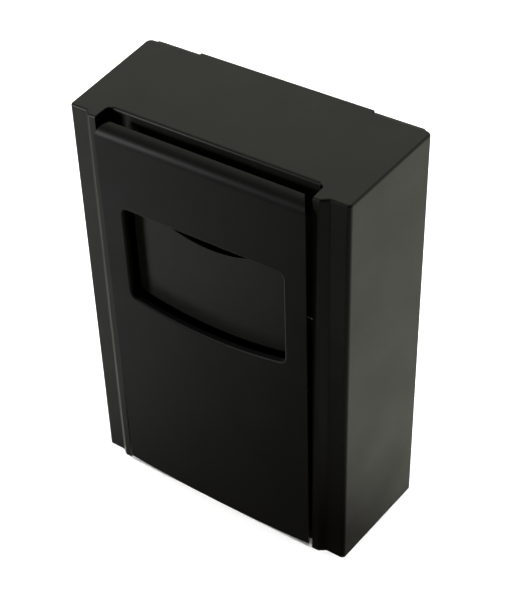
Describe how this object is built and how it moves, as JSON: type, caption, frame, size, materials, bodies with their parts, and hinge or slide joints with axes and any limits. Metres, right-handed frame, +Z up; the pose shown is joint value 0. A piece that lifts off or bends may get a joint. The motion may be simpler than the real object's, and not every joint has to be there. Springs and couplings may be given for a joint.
{
  "type": "dog waste bin",
  "caption": "Wall-mounted dog waste bin in folded, powder-coated sheet steel, with a tilt-out front door, a push-in deposit flap in its window and a lift-out galvanised liner.",
  "frame": {"origin": "bottom centre of the whole bin's bounding box", "axes": "+Z up, +Y towards the wall, -Y out of the front, X across the front"},
  "size_m": [0.3106, 0.139, 0.4348],
  "materials": {
    "case_paint": "satin",
    "door_paint": "satin",
    "galvanised": "satin",
    "bright_steel": "satin",
    "magnet_case": "matte",
    "rubber": "matte"
  },
  "bodies": {
    "case": {"case_shell": "case_paint", "back_plate": "case_paint", "floor_plate": "case_paint", "hinge_case_leaf": "galvanised", "hinge_pin": "bright_steel", "hinge_rivets": "bright_steel", "magnet_catch": "magnet_case", "magnet_screws": "bright_steel", "door_buffers": "rubber", "liner_locator_left": "galvanised", "liner_locator_right": "galvanised"},
    "door": {"door_panel": "door_paint", "door_gusset_left": "door_paint", "door_gusset_right": "door_paint", "hinge_door_leaf": "galvanised", "flap_bracket_left": "door_paint", "flap_bracket_right": "door_paint", "flap_rod": "bright_steel", "flap_rod_clips": "bright_steel"},
    "flap": {"deposit_flap": "door_paint"},
    "liner_unit": {"liner": "galvanised", "liner_ear_left": "galvanised", "liner_ear_right": "galvanised", "liner_ear_rivets": "bright_steel"},
    "handle": {"liner_handle": "bright_steel"}
  },
  "joints": [
    {"name": "door_hinge", "type": "hinge", "parent": "case", "child": "door", "pos_m": [0, -0.06026, 0.015], "axis": [1, 0, 0], "range_deg": [0, 30]},
    {"name": "flap_hinge", "type": "hinge", "parent": "door", "child": "flap", "pos_m": [0, -0.05403, 0.34709], "axis": [1, 0, 0], "range_deg": [0, 55]},
    {"name": "liner_lift", "type": "slide", "parent": "case", "child": "liner_unit", "axis": [0, 0, 1], "range_m": [0, 0.015]},
    {"name": "handle_pivot", "type": "hinge", "parent": "liner_unit", "child": "handle", "pos_m": [0, 0.01239, 0.1789], "axis": [1, 0, 0], "range_deg": [0, 180]}
  ]
}
